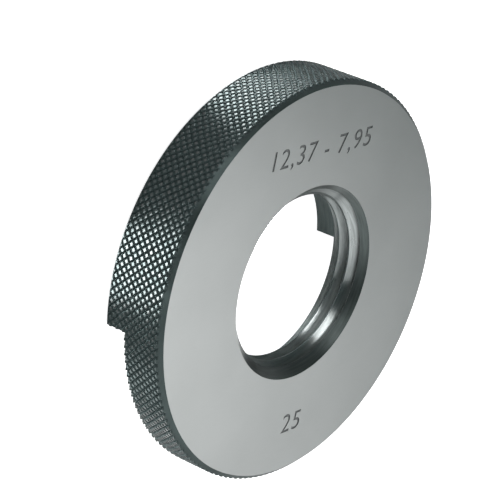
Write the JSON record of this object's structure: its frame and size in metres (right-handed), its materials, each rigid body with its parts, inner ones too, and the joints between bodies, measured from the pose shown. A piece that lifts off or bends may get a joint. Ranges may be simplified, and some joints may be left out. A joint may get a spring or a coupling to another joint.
{
  "type": "taper thread ring gauge",
  "caption": "Steel ring gauge for a taper pipe thread: knurled rim, ground marked face, countersunk threaded bore, and a back milled in two steps.",
  "frame": {"origin": "thread axis at the base, on the plane of the deepest gauging face", "axes": "+Z along the thread axis towards the marked face, +X along the engraved line, +Y from the axis to the engraved line"},
  "size_m": [0.071, 0.071, 0.0124],
  "materials": {
    "gauge_steel": "hardened tool steel: ground on the flat faces, dark on the knurled rim, in the chamfers and in the countersinks"
  },
  "bodies": {
    "root": {"gauge_ring": "gauge_steel"}
  },
  "joints": []
}
